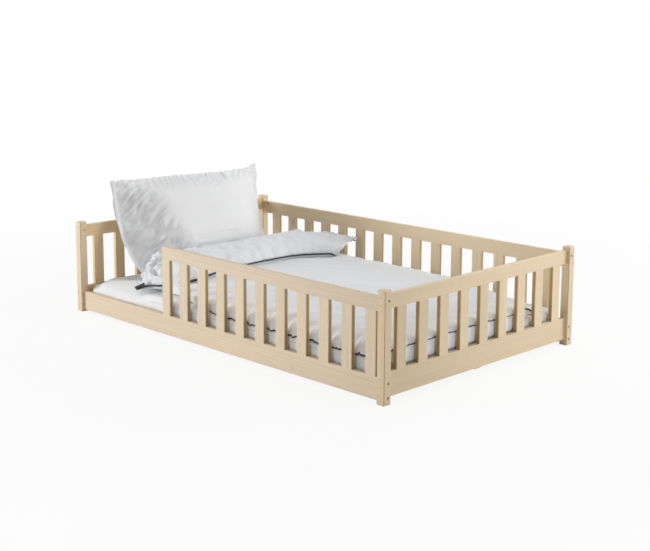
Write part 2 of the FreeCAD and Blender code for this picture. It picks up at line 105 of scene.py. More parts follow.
def through(stations: Stations, at: float) -> list[float]:
    """Reads a smooth line through stations.

    Args:
        stations: Rows of a place followed by the values there, in order of place.
        at: The place to read.

    Returns:
        The values at that place.
    """
    last = len(stations) - 1
    at = min(max(at, stations[0][0]), stations[last][0])
    i = max(k for k in range(last) if stations[k][0] <= at)
    width = stations[i + 1][0] - stations[i][0]
    share = (at - stations[i][0]) / width
    values = []
    for column in range(1, len(stations[0])):
        slopes = []
        for k in (i, i + 1):
            before, after = stations[max(k - 1, 0)], stations[min(k + 1, last)]
            slopes.append(width * (after[column] - before[column]) / (after[0] - before[0]))
        start = stations[i][column]
        rise = stations[i + 1][column] - start
        bend = slopes[0] + slopes[1] - 2 * rise
        curve = 3 * rise - 2 * slopes[0] - slopes[1] + share * bend
        values.append(start + share * (slopes[0] + share * curve))
    return values


def ripple(place: Vector, size: Place, octaves: int = 2) -> float:
    """Smooth noise from about -1 to 1, with features of the given size along each axis."""
    scaled = Vector((place.x / size[0], place.y / size[1], place.z / size[2]))
    return noise.fractal(scaled, 1.0, 2.0, octaves, noise_basis="PERLIN_ORIGINAL")


def turned(place: Vector, cosine: float, sine: float) -> Vector:
    """A place in axes that are turned about the upright one."""
    return Vector((cosine * place.x + sine * place.y, cosine * place.y - sine * place.x, 0.0))


def middle(node: str) -> Vector:
    """The middle of a node's box."""
    low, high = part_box(node)
    return (low + high) / 2


@dataclass(frozen=True)
class Creases:
    """A field of creases in cloth: even waves or, with a slope, round on top and pinched between."""

    height: float
    size: Place
    octaves: int = 2
    top: float = 0.0
    slope: float = 0.0

    def at(self, place: Vector) -> float:
        """The height at a place."""
        wave = ripple(place, self.size, self.octaves)
        return self.height * (self.top - self.slope * abs(wave) if self.slope else wave)


@dataclass(frozen=True)
class Gathers:
    """Small gathers along a sewn edge: their height, their reach inwards, and where their pattern starts."""

    height: float
    reach: float
    start: float = 0.0
    pitch: float = 0.036

    def at(self, distance: float, along: float) -> float:
        """The height of the gathers, which are round on top and pinched between.

        Args:
            distance: How far the point is from the edge.
            along: The point's place along the edge.

        Returns:
            The height.
        """
        line = Vector((along + self.start, 0.0, 0.0))
        phase = (along + self.start) / self.pitch + 1.3 * ripple(line, (0.16, 1.0, 1.0))
        uneven = 0.8 + 0.9 * ripple(line, (0.09, 1.0, 1.0), 1)
        profile = (abs(math.sin(math.pi * phase)) - 0.6) * uneven
        return self.height * math.exp(-distance / self.reach) * profile


class Grain(Enum):
    """The axes along, across and through a board, for each family. Posts have the long sides' slats' axes."""

    LONG_SLAT = "ZXY"
    END_SLAT = "ZYX"
    LONG_RAIL = "XZY"
    END_RAIL = "YZX"
    BASE_SLAT = "YXZ"
    BEARER = "XYZ"


class Shader:
    """The node tree of a material or of the world, with short calls that add and link its nodes."""

    def __init__(self, owner: Material | bpy.types.World) -> None:
        """Starts an empty tree.

        Args:
            owner: The material or the world that the tree belongs to.
        """
        self.owner = owner
        owner.use_nodes = True
        self.tree = owner.node_tree
        self.tree.nodes.clear()

    def add(self, kind: str, inputs: dict | None = None, **settings: object) -> bpy.types.Node:
        """Adds one node.

        Args:
            kind: The node's type name, without its ShaderNode prefix.
            inputs: Values or sockets for its inputs, by name or number.
            settings: The node's own properties.

        Returns:
            The node.
        """
        node = self.tree.nodes.new("ShaderNode" + kind)
        for key, value in settings.items():
            setattr(node, key, value)
        for key, value in (inputs or {}).items():
            if isinstance(value, Socket):
                self.tree.links.new(value, node.inputs[key])
            else:
                node.inputs[key].default_value = value
        return node

    def here(self) -> Socket:
        """The place on the piece."""
        return self.add("TexCoord").outputs["Object"]

    def seen(self) -> Socket:
        """Tells the rays that are seen from those that only light the scene.

        Returns:
            1 for a ray from the camera, or one that a shiny or clear surface passes on, else 0.
        """
        rays = self.add("LightPath").outputs
        passed_on = self.math("MAXIMUM", rays["Is Glossy Ray"], rays["Is Transmission Ray"])
        return self.math("MAXIMUM", rays["Is Camera Ray"], passed_on)

    def math(self, operation: str, *values: Number) -> Socket:
        """Works out one number from up to three."""
        return self.add("Math", dict(enumerate(values)), operation=operation).outputs[0]

    def vector(self, operation: str, *values: Triple) -> Socket:
        """Works out one vector from up to three."""
        return self.add("VectorMath", dict(enumerate(values)), operation=operation).outputs[0]

    def split(self, place: Socket) -> Parts:
        """The three parts of a place."""
        return self.add("SeparateXYZ", {"Vector": place}).outputs

    def join(self, parts: tuple, scales: Place) -> Socket:
        """A place from three parts, each times its own scale."""
        scaled = [self.math("MULTIPLY", part, scale) for part, scale in zip(parts, scales)]
        return self.add("CombineXYZ", dict(enumerate(scaled))).outputs[0]

    def channels(self, colour: Socket) -> Parts:
        """The three channels of a colour."""
        return self.add("SeparateColor", {"Color": colour}).outputs

    def grey(self, level: Socket) -> Socket:
        """A grey of the given level."""
        return self.add("CombineColor", {0: level, 1: level, 2: level}).outputs[0]

    def span(self, value: Number, low: float, high: float, new_low: float, new_high: float) -> Socket:
        """Maps a stretch of numbers smoothly onto another."""
        inputs = {"Value": value, "From Min": low, "From Max": high, "To Min": new_low, "To Max": new_high}
        return self.add("MapRange", inputs, interpolation_type="SMOOTHSTEP").outputs["Result"]

    def mix(self, share: Number, first: Triple, second: Triple, blend: str = "MIX") -> Socket:
        """Mixes two colours by a share.

        Args:
            share: How much of the second colour shows, from 0 to 1.
            first: The first colour.
            second: The second colour.
            blend: How the second colour goes over the first.

        Returns:
            The mixed colour.
        """
        colours = {0: share, 6: first, 7: second}
        for key in (6, 7):
            if isinstance(colours[key], tuple):
                colours[key] = (*colours[key], 1.0)
        return self.add("Mix", colours, data_type="RGBA", blend_type=blend).outputs[2]

    def times(self, first: Triple, second: Triple) -> Socket:
        """Multiplies two colours."""
        return self.mix(1.0, first, second, "MULTIPLY")

    def noise(self, place: Socket, scale: float, detail: float = 2.0) -> Socket:
        """Noise from 0 to 1 on a place."""
        return self.add("TexNoise", {"Vector": place, "Scale": scale, "Detail": detail}).outputs["Fac"]

    def bump(
        self, height: Socket, depth: float, strength: float = 1.0, under: Socket | None = None
    ) -> Socket:
        """Makes a surface normal from a height.

        Args:
            height: The height.
            depth: The length that a height of 1 stands for.
            strength: How much of it shows, from 0 to 1.
            under: Another normal, which the height goes over.

        Returns:
            The normal.
        """
        inputs = {"Height": height, "Distance": depth, "Strength": strength}
        if under is not None:
            inputs["Normal"] = under
        return self.add("Bump", inputs).outputs[0]

    def finish(self, **inputs: Number | Triple) -> Material:
        """Ends the tree in one principled surface.

        Args:
            inputs: The surface's inputs, their names with underscores for spaces.

        Returns:
            The material.
        """
        values = {}
        for key, value in inputs.items():
            is_colour = isinstance(value, tuple) and len(value) == 3
            values[key.replace("_", " ")] = (*value, 1.0) if is_colour else value
        surface = self.add("BsdfPrincipled", values)
        self.add("OutputMaterial", {"Surface": surface.outputs[0]})
        return self.owner


@dataclass(frozen=True)
class Lattice:
    """How the boards of one family repeat, so that each board gets its own figure."""

    step: Place
    start: Place = (0.0, 0.0, 0.0)


@dataclass(frozen=True)
class PineFinish:
    """Planed pine under clear satin lacquer: growth rings, fibres, tonal streaks and a few small knots."""

    early: Colour
    late: Colour
    knot: Colour = (0.44, 0.27, 0.13)
    # Painted shade on the narrow sides of slats, where the reveals between them fall dark
    edge: Colour = (1.0, 1.0, 1.0)
    # Painted shade along the rounded arrises, where two faces meet
    painted_arris_shade: Colour = (1.0, 1.0, 1.0)
    # How far from the board's middle the painted shade on the narrow sides reaches; the rims nearer the faces
    # stay pale
    lip: float = 0.006
    ring: float = 0.0042
    fibre: Place = (5.0, 300.0, 300.0)
    streak: Place = (0.9, 26.0, 12.0)
    knot_cells: float = 3.6
    knots_left_out: float = 0.80
    roughness: float = 0.46
    coat: float = 0.12

    def material(self, name: str, grain: Grain, lattice: Lattice) -> Material:
        """Makes the material for one family of boards.

        Args:
            name: The material's name.
            grain: The axes along, across and through its boards.
            lattice: How its boards repeat.

        Returns:
            The material.
        """
        s = Shader(bpy.data.materials.new(name))
        place = s.here()
        from_start = s.vector("SUBTRACT", place, lattice.start)
        corner = s.vector("SNAP", from_start, lattice.step)
        half = tuple(size / 2 for size in lattice.step)
        local = s.split(s.vector("SUBTRACT", s.vector("SUBTRACT", from_start, corner), half))
        own = s.add("TexWhiteNoise", {"Vector": corner}, noise_dimensions="3D")
        chance = s.channels(own.outputs["Color"])
        along, across, deep = s.split(place)[grain.value[0]], local[grain.value[1]], local[grain.value[2]]
        shift = s.math("MULTIPLY_ADD", chance[0], 7.0, along)
        knots, around = self._knots(s, shift, across, chance)
        side = s.math("ADD", s.math("MULTIPLY_ADD", chance[1], 0.10, -0.05), across)
        pith = s.math("ADD", s.math("MULTIPLY_ADD", chance[2], 0.07, 0.035), deep)
        bent = s.math("MULTIPLY_ADD", around, 0.012, pith)
        wave = {"Vector": s.join((shift, side, bent), (0.05, 1.0, 1.0)), "Scale": WAVE / self.ring}
        wave |= {"Distortion": 9.0, "Detail": 2.0, "Detail Scale": 0.12}
        style = {"wave_type": "RINGS", "rings_direction": "X", "wave_profile": "SAW"}
        rings = s.add("TexWave", wave, **style).outputs["Fac"]
        fibre = s.noise(s.join((shift, side, pith), self.fibre), 1.0, 3.0)
        streak = s.noise(s.join((shift, side, pith), self.streak), 1.0)
        streaked = s.span(streak, 0.25, 0.75, 0.30, 1.0)
        late = s.math("MULTIPLY", s.span(rings, 0.40, 0.98, 0.0, 0.52), streaked)
        colour = s.mix(late, self.early, self.late)
        colour = s.mix(s.span(fibre, 0.35, 0.7, 0.0, 0.16), colour, self.late)
        own_tone = s.math("MULTIPLY_ADD", chance[1], 0.08, -0.04)
        tone = s.math("ADD", s.span(streak, 0.2, 0.8, 0.94, 1.05), own_tone)
        colour = s.mix(knots, s.times(colour, s.grey(tone)), self.knot)
        return s.finish(
            Base_Color=self._painted_edge_shade(s, colour, grain, deep),
            Roughness=s.span(fibre, 0.2, 0.8, self.roughness - 0.06, self.roughness + 0.08),
            Normal=s.bump(s.math("MULTIPLY_ADD", fibre, 0.6, late), 0.0004, 0.35),
            Coat_Weight=self.coat,
            Coat_Roughness=0.3,
        )

    def _knots(self, s: Shader, along: Socket, across: Socket, chance: Parts) -> tuple[Socket, Socket]:
        """Places a few small knots on a board's faces.

        Args:
            s: The material's tree.
            along: Place along the board.
            across: Place across the board.
            chance: The board's own random numbers.

        Returns:
            How much of a knot is at a place, and how far the rings bend round it.
        """
        flat = s.join((along, across, chance[2]), (0.62, 1.0, 1.0))
        cells = s.add("TexVoronoi", {"Vector": flat, "Scale": self.knot_cells}, voronoi_dimensions="2D")
        kept = s.math("GREATER_THAN", s.channels(cells.outputs["Color"])[0], self.knots_left_out)
        near = cells.outputs["Distance"]
        eye = s.math("MULTIPLY", kept, s.span(near, 0.002, 0.034, 0.24, 0.0))
        around = s.math("MULTIPLY", kept, s.span(near, 0.0, 0.11, 1.0, 0.0))
        return eye, around

    def _painted_edge_shade(self, s: Shader, colour: Socket, grain: Grain, deep: Socket) -> Socket:
        """Paints shade onto a board's narrow sides, where the reveals between slats fall dark, and along its
        rounded arrises.

        Args:
            s: The material's tree.
            colour: The colour of the wood.
            grain: The axes along, across and through the boards.
            deep: Place through the board, from its middle.

        Returns:
            The colour, with painted shade on the narrow sides and on the arrises.
        """
        normal = s.split(s.add("NewGeometry").outputs["True Normal"])
        sideways = s.math("ABSOLUTE", normal[grain.value[1]])
        outwards = s.math("ABSOLUTE", normal[grain.value[2]])
        inside = s.span(s.math("ABSOLUTE", deep), self.lip, self.lip + 0.002, 1.0, 0.0)
        # Painted shade on the narrow sides, kept off their rims next to the faces
        cut = s.math("MULTIPLY", s.span(sideways, 0.75, 0.95, 0.0, 1.0), inside)
        colour = s.mix(cut, colour, s.times(colour, self.edge))
        # Painted shade along the rounded arrises
        rounded = s.span(s.math("MINIMUM", sideways, outwards), 0.30, 0.60, 0.0, 1.0)
        return s.mix(rounded, colour, s.times(colour, self.painted_arris_shade))


PINE = PineFinish(early=(0.71, 0.575, 0.385), late=(0.57, 0.40, 0.22))
# A paler copy of the pine: painted light for the brightly lit front rails and guard slats
PAINTED_LIGHT_PINE = PineFinish(early=(0.72, 0.595, 0.435), late=(0.58, 0.42, 0.26))
# A deeper, warmer copy of the pine: painted shade for the shaded head end
PAINTED_SHADE_PINE = PineFinish(early=(0.75, 0.56, 0.32), late=(0.57, 0.39, 0.19))
BARE_PINE = PineFinish(early=(0.70, 0.555, 0.385), late=(0.50, 0.34, 0.19), roughness=0.62, coat=0.0)
DOWEL_PINE = PineFinish(early=(0.58, 0.44, 0.29), late=(0.44, 0.30, 0.17), ring=0.0016, roughness=0.55)


@dataclass(frozen=True)
class CottonFinish:
    """Woven or knitted cotton: a fine weave, faint slubs and soft creases."""

    colour: Colour
    thread: float = 0.0006
    crease: float = 0.0
    roughness: float = 0.86
    sheen: float = 0.18

    def material(self, name: str) -> Material:
        """Makes the cloth's material, its weave on the piece's own places.

        Args:
            name: The material's name.

        Returns:
            The material.
        """
        s = Shader(bpy.data.materials.new(name))
        place = s.here()
        wave = {"Vector": place, "Scale": WAVE / self.thread, "Distortion": 0.6}
        threads = [s.add("TexWave", wave, bands_direction=way).outputs["Fac"] for way in ("X", "DIAGONAL")]
        slub = s.noise(s.vector("MULTIPLY", place, (40.0, 220.0, 220.0)), 1.0, 3.0)
        soft = s.noise(place, 9.0, 4.0)
        shade = s.math("ADD", s.span(slub, 0.3, 0.7, -0.012, 0.012), s.span(soft, 0.3, 0.7, 0.985, 1.0))
        normal = s.bump(s.math("MAXIMUM", *threads), 0.00012, 0.5)
        if self.crease > 0:
            lines = s.noise(s.vector("MULTIPLY", place, (5.0, 16.0, 12.0)), 1.0, 5.0)
            normal = s.bump(lines, self.crease, 1.0, normal)
        return s.finish(
            Base_Color=s.times(self.colour, s.grey(shade)),
            Roughness=self.roughness,
            Normal=normal,
            Sheen_Weight=self.sheen,
            Sheen_Roughness=0.5,
        )


@dataclass(frozen=True)
class SteelFinish:
    """Dark zinc-plated steel with a faint cloudiness."""

    colour: Colour = (0.20, 0.155, 0.105)

    def material(self, name: str) -> Material:
        """Makes the material for bolts, nuts and screws.

        Args:
            name: The material's name.

        Returns:
            The material.
        """
        s = Shader(bpy.data.materials.new(name))
        cloud = s.noise(s.here(), 400.0, 3.0)
        lighter = tuple(1.7 * level for level in self.colour)
        colour = s.mix(s.span(cloud, 0.35, 0.65, 0.0, 0.5), self.colour, lighter)
        return s.finish(Base_Color=colour, Roughness=s.span(cloud, 0.3, 0.7, 0.32, 0.5), Metallic=1.0)


@dataclass(frozen=True)
class PipingFinish:
    """A black corded edge with a slanting twist."""

    colour: Colour = (0.012, 0.013, 0.017)

    def material(self, name: str) -> Material:
        """Makes the material for the duvet's corded edge.

        Args:
            name: The material's name.

        Returns:
            The material.
        """
        s = Shader(bpy.data.materials.new(name))
        wave = {"Vector": s.here(), "Scale": 90.0}
        twist = s.add("TexWave", wave, bands_direction="DIAGONAL").outputs["Fac"]
        lighter = tuple(2.4 * level for level in self.colour)
        colour = s.mix(s.span(twist, 0.2, 0.9, 0.0, 0.6), self.colour, lighter)
        return s.finish(Base_Color=colour, Roughness=0.6, Normal=s.bump(twist, 0.0006, 0.6), Sheen_Weight=0.1)


@dataclass(frozen=True)
class ClothRun:
    """One run of the cloth solver on a filled piece, from its modelled shape."""

    pressure: float
    frames: int
    most: float
    stiffness: float = 20.0
    bending: float = 0.5

    def settle(self, piece: Piece, held: str = "") -> None:
        """Runs the solver and writes the settled shape into the mesh.

        Args:
            piece: The piece, with its modelled shape as the cloth's rest shape.
            held: Name of the vertex group that stays where it is, if any.
        """
        scene = bpy.context.scene
        cloth = piece.modifiers.new("settle", "CLOTH")
        cloth.point_cache.frame_start = 1
        cloth.point_cache.frame_end = self.frames
        settings = cloth.settings
        settings.quality = 5
        settings.mass = 0.3
        settings.air_damping = 4.0
        settings.tension_stiffness = self.stiffness
        settings.compression_stiffness = self.stiffness
        settings.shear_stiffness = self.stiffness / 3
        settings.bending_stiffness = self.bending
        settings.use_pressure = True
        settings.uniform_pressure_force = self.pressure
        settings.effector_weights.gravity = 0.0
        settings.vertex_group_mass = held
        cloth.collision_settings.use_collision = False
        for frame in range(1, self.frames + 1):
            scene.frame_set(frame)
        settled = piece.evaluated_get(bpy.context.evaluated_depsgraph_get())
        moved = [vertex.co.copy() for vertex in settled.data.vertices]
        piece.modifiers.remove(cloth)
        scene.frame_set(1)
        for vertex, target in zip(piece.data.vertices, moved):
            step = target - vertex.co
            vertex.co += step * min(1.0, self.most / max(step.length, 1e-9))
        piece.data.update()


def make_piece(name: str, shape: Mesh, finish: Material) -> Piece:
    """Turns a finished bmesh into a piece that rides on the bed.

    Args:
        name: The piece's name.
        shape: Its shape, which is freed.
        finish: Its material.

    Returns:
        The piece.
    """
    bmesh.ops.recalc_face_normals(shape, faces=shape.faces)
    mesh = bpy.data.meshes.new(name)
    shape.to_mesh(mesh)
    shape.free()
    mesh.shade_smooth()
    mesh.materials.append(finish)
    piece = bpy.data.objects.new(name, mesh)
    bpy.context.scene.collection.objects.link(piece)
    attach(piece, BODY)
    LOG.info("%s: %d faces", name, len(mesh.polygons))
    return piece


def put_on(node: Piece, material: Material) -> None:
    """Fills all of a node's material slots with one material."""
    for slot in node.material_slots:
        slot.material = material


@dataclass(frozen=True)
class Block:
    """The box of a node, made into a shape with round upright corners and soft rims."""

    low: Vector
    high: Vector

    def up(self, place: Vector) -> float:
        """The height of a place, as a share of the block's own."""
        return (place.z - self.low.z) / (self.high.z - self.low.z)

    def shape(self, corner: float, edge: float, pitch: float) -> Mesh:
        """Makes the block's shape, cut along X and Y into cells so that it can be creased.

        Args:
            corner: Radius of the upright corners.
            edge: Radius of the rims.
            pitch: About the size of the cells.

        Returns:
            The shape.
        """
        shape = bmesh.new()
        size = self.high - self.low
        place = Matrix.LocRotScale((self.low + self.high) / 2, None, size)
        bmesh.ops.create_cube(shape, size=1.0, matrix=place)
        upright = [e for e in shape.edges if abs((e.verts[0].co - e.verts[1].co).z) > SAME]
        bevel = {"affect": "EDGES", "profile": 0.5, "material": -1, "clamp_overlap": True}
        bmesh.ops.bevel(shape, geom=upright, offset=corner, segments=10, **bevel)
        level = [e for e in shape.edges if abs((e.verts[0].co - e.verts[1].co).z) < 1e-6]
        rims = [e for e in level if sum(abs(face.normal.z) for face in e.link_faces) > 0.5]
        bmesh.ops.bevel(shape, geom=rims, offset=edge, segments=5, **bevel)
        for axis, normal in enumerate(((1.0, 0.0, 0.0), (0.0, 1.0, 0.0))):
            count = round(size[axis] / pitch)
            for i in range(1, count):
                at = Vector(normal) * (self.low[axis] + size[axis] * i / count)
                geometry = [*shape.verts, *shape.edges, *shape.faces]
                bmesh.ops.bisect_plane(shape, geom=geometry, dist=1e-5, plane_co=at, plane_no=normal)
        return shape


class SewnCase:
    """A filled case of two layers that are sewn together along their edges."""

    cells: tuple[int, int]

    def spread(self, place: Vector) -> Place:
        """A point's place on the flat case, as shares across and along, and its layer: 1 or -1."""
        return place.x + 0.5, place.y + 0.5, place.z

    def form(self, across: float, along: float, layer: float) -> Vector:
        """Where a point of the flat case lies on the bed."""
        raise NotImplementedError

    def wrinkle(self, flat: Vector, place: Vector) -> float:
        """How far the cotton stands out from the plain form, at a place on the case and on the bed."""
        raise NotImplementedError

    def sew(self) -> Mesh:
        """Shapes the two layers, joins them at a crisp seam and creases the cotton.

        Returns:
            The shape, with each point's place on the flat case in its layer named flat.
        """
        shape = bmesh.new()
        across, along = self.cells
        for layer in (1.0, -1.0):
            level = Matrix.Translation((0.0, 0.0, layer))
            bmesh.ops.create_grid(shape, x_segments=across, y_segments=along, size=0.5, matrix=level)
        flat = shape.verts.layers.float_vector.new("flat")
        for vertex in shape.verts:
            vertex[flat] = self.spread(vertex.co)
            vertex.co = self.form(*vertex[flat])
        bmesh.ops.remove_doubles(shape, verts=shape.verts, dist=SEWN)
        bmesh.ops.recalc_face_normals(shape, faces=shape.faces)
        shape.normal_update()
        for edge in shape.edges:
            beside = (v for face in edge.link_faces for v in face.verts if v not in edge.verts)
            edge.smooth = len({vertex[flat].z for vertex in beside}) < 2
        for vertex in shape.verts:
            vertex.co += vertex.normal * self.wrinkle(vertex[flat], vertex.co)
        return shape


@dataclass
class Timber:
    """The pine frame and the slatted base, dressed family by family."""

    nodes: dict[str, Piece]
    slat_width: float = 0.055
    # How far the slats' middles lie from the frame's own grid
    set_back: float = 0.004
    base_slats: int = 15
    base_slat_width: float = 0.07
    base_lead: float = 0.03
    bearer_step: float = 0.4

    def dress(self) -> None:
        """Gives every wooden node the material of its family."""
        guard, foot, post = middle("guard_slat_1"), middle("foot_slat_1"), middle("post_foot_back")
        long_pitch = middle("guard_slat_2").x - guard.x
        end_pitch = middle("foot_slat_2").y - foot.y
        long_step, end_step = (long_pitch, 2 * post.y, WHOLE), (2 * post.x, end_pitch, WHOLE)
        guard_start = guard.x - long_pitch / 2
        back_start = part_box("back_slats")[0].x + self.slat_width / 2 - long_pitch / 2
        end_start = foot.y - end_pitch / 2
        base_low, base_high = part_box("base_slats")
        base_pitch = (base_high.x - base_low.x - self.base_slat_width) / (self.base_slats - 1)
        start = -WHOLE / 2
        posts = Lattice((2 * post.x, 2 * post.y, WHOLE))
        guard_slats = Lattice(long_step, (guard_start, self.set_back, 0.0))
        back_slats = Lattice(long_step, (back_start, -self.set_back, 0.0))
        foot_slats = Lattice(end_step, (-self.set_back, end_start, 0.0))
        head_slats = Lattice(end_step, (self.set_back, end_start, 0.0))
        long_rails = Lattice((WHOLE, 2 * post.y, post.z), (start, 0.0, 0.0))
        end_rails = Lattice((2 * post.x, WHOLE, post.z), (0.0, start, 0.0))
        base_slats = Lattice((base_pitch, WHOLE, WHOLE), (base_low.x - self.base_lead, start, start))
        bearers = Lattice((WHOLE, self.bearer_step, WHOLE), (start, -self.bearer_step / 2, start))
        # The posts' finish carries painted shade along their rounded arrises
        rounded = replace(PINE, painted_arris_shade=(0.55, 0.46, 0.34))
        # These finishes carry painted shade on the slats' narrow sides, where the reveals fall dark
        guard_pine_with_painted_shade = replace(PAINTED_LIGHT_PINE, edge=(0.54, 0.46, 0.26))
        back_pine_with_painted_shade = replace(PINE, edge=(0.57, 0.48, 0.30))
        foot_pine_with_painted_shade = replace(PINE, edge=(0.56, 0.465, 0.28))
        bearer_names = ("ledger_front", "ledger_back", "centre_beam", "beam_feet")
        families = (
            ("post", rounded, Grain.LONG_SLAT, posts, ("post_",)),
            ("guard slat", guard_pine_with_painted_shade, Grain.LONG_SLAT, guard_slats, ("guard_slat_",)),
            ("back slat", back_pine_with_painted_shade, Grain.LONG_SLAT, back_slats, ("back_slats",)),
            ("foot slat", foot_pine_with_painted_shade, Grain.END_SLAT, foot_slats, ("foot_slat_",)),
            # Painted shade: the head end's deeper copy of the pine
            ("head slat", PAINTED_SHADE_PINE, Grain.END_SLAT, head_slats, ("head_slat_",)),
            # Painted light: the front side's paler copy of the pine
            ("front rail", PAINTED_LIGHT_PINE, Grain.LONG_RAIL, long_rails, ("front_bottom_rail", "guard_top_rail")),
            ("back rail", PINE, Grain.LONG_RAIL, long_rails, ("back_bottom_rail", "back_top_rail")),
            ("foot rail", PINE, Grain.END_RAIL, end_rails, ("foot_bottom_rail", "foot_top_rail")),
            ("head rail", PAINTED_SHADE_PINE, Grain.END_RAIL, end_rails, ("head_bottom_rail", "head_top_rail")),
            ("base slat", BARE_PINE, Grain.BASE_SLAT, base_slats, ("base_slats",)),
            ("bearer", BARE_PINE, Grain.BEARER, bearers, bearer_names),
        )
        for family, finish, grain, lattice, prefixes in families:
            material = finish.material(f"pine {family}", grain, lattice)
            for name, node in self.nodes.items():
                if name.startswith(prefixes):
                    put_on(node, material)
                    LOG.info("%s: pine %s", name, family)


@dataclass
class Fittings:
    """Bolts, barrel nuts, dowels, screws and the tapes of the slatted base."""

    nodes: dict[str, Piece]
    dowel_step: float = 0.016

    def dress(self) -> None:
        """Gives each group of fittings its own finish."""
        steel = SteelFinish().material("dark zinc")
        for name in ("rail_bolts", "barrel_nuts", "ledger_screws", "slat_screws"):
            put_on(self.nodes[name], steel)
        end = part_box("rail_dowels")[1].x
        lattice = Lattice((2 * end, WHOLE, self.dowel_step), (0.0, -WHOLE / 2, 0.0))
        put_on(self.nodes["rail_dowels"], DOWEL_PINE.material("dowel wood", Grain.END_RAIL, lattice))
        tape = CottonFinish(colour=(0.60, 0.58, 0.53), thread=0.0018, sheen=0.05).material("woven tape")
        put_on(self.nodes["base_tapes"], tape)
        LOG.info("fittings dressed")


@dataclass
class Mattress:
    """The foam mattress in its knitted cover, with a fitted sheet stretched over it."""

    corner: float = 0.060
    sheet_corner: float = 0.045
    edge: float = 0.026
    sheet_hem: float = 0.130
    cell: float = 0.020
    # The core's rim sinks a little further than the sheet's
    core_sink: float = 1.06
    # The sheet is covered up to the first place along the bed, and bare from the second on
    bare: Pair = (-0.48, -0.64)
    # The worn rim at the head: how far it sinks, over what width, and how quickly that fades
    rim_drop: float = 0.042
    rim_reach: float = 0.12
    rim_fade: float = 0.045
    inset: float = 0.0012
    slack: Creases = Creases(0.0016, (0.22, 0.11, 0.1), 3)
    loose: Creases = Creases(0.0095, (0.26, 0.050, 1.0))

    def build(self) -> None:
        """Builds the mattress and the sheet in place of their solids."""
        block = Block(*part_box("mattress"))
        ticking = CottonFinish(colour=(0.74, 0.74, 0.73), thread=0.0016, crease=0.002)
        shape = block.shape(self.corner, self.edge, 2 * self.cell)
        for vertex in shape.verts:
            vertex.co.z -= self._worn(vertex.co, block) * self.core_sink
        core = make_piece("mattress_core", shape, ticking.material("knitted ticking"))
        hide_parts("mattress")
        self._sheet()

    def _sheet(self) -> None:
        """Builds the fitted sheet: taut on top, gathered a little at the corners, its hem turned in below."""
        block = Block(*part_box("fitted_sheet"))
        shape = block.shape(self.sheet_corner, self.edge, self.cell)
        shape.normal_update()
        inner = []
        for face in shape.faces:
            inset = block.high - Vector([abs(part) for part in face.calc_center_median()])
            if face.normal.z < -0.9 and min(inset.x, inset.y) > self.sheet_hem:
                inner.append(face)
        bmesh.ops.delete(shape, geom=inner, context="FACES")
        for vertex in shape.verts:
            vertex.co += self._crease(vertex.co, vertex.normal, block)
        jersey = CottonFinish(colour=(0.86, 0.87, 0.88), thread=0.0007, crease=0.003)
        sheet = make_piece("sheet_cover", shape, jersey.material("jersey sheet"))
        smoothing = sheet.modifiers.new("soften", "SUBSURF")
        smoothing.levels = smoothing.render_levels = 1
        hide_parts("fitted_sheet")

    def _crease(self, place: Vector, outward: Vector, block: Block) -> Vector:
        """How far the sheet stands off its block at a place.

        Args:
            place: The place on the block.
            outward: The block's normal there.
            block: The block.

        Returns:
            The step from the block to the sheet.
        """
        high = block.high
        corner = Vector((math.copysign(high.x, place.x), math.copysign(high.y, place.y), high.z))
        near = 1 - smooth(0.03, 0.42, (place - corner).length)
        pull = math.atan2(abs(corner.x - place.x), abs(corner.y - place.y))
        fan = near * math.sin(pull * 15 + 4 * ripple(place, (0.2, 0.2, 0.2)))
        top = smooth(0.5, 0.9, outward.z)
        step = outward * (self.slack.at(place) * top - self.inset + 0.0016 * fan)
        bare = smooth(*self.bare, place.x)
        if bare > 0:
            loose = self.loose.at(turned(place, 0.97, 0.24)) + 0.0040 * fan + 0.0020
            step += outward * 0.004 * math.sin(math.pi * block.up(place)) * (1 - top) * bare
            step.z += bare * top * max(loose, -0.0004) - self._worn(place, block)
        return step

    def _worn(self, place: Vector, block: Block) -> float:
        """How far the soft rim has sunk at the head, where the bed is got into.

        Args:
            place: The place on the block.
            block: The block.

        Returns:
            The drop from the block's own height.
        """
        from_edges = (place.x - block.low.x, block.high.y - abs(place.y))
        outward = math.hypot(*(max(self.rim_reach - distance, 0.0) for distance in from_edges))
        rim = max(self.rim_reach - outward, 0.0)
        drop = self.rim_drop * math.exp(-rim / self.rim_fade)
        return drop * smooth(0.2, 1.0, block.up(place)) * smooth(*self.bare, place.x)


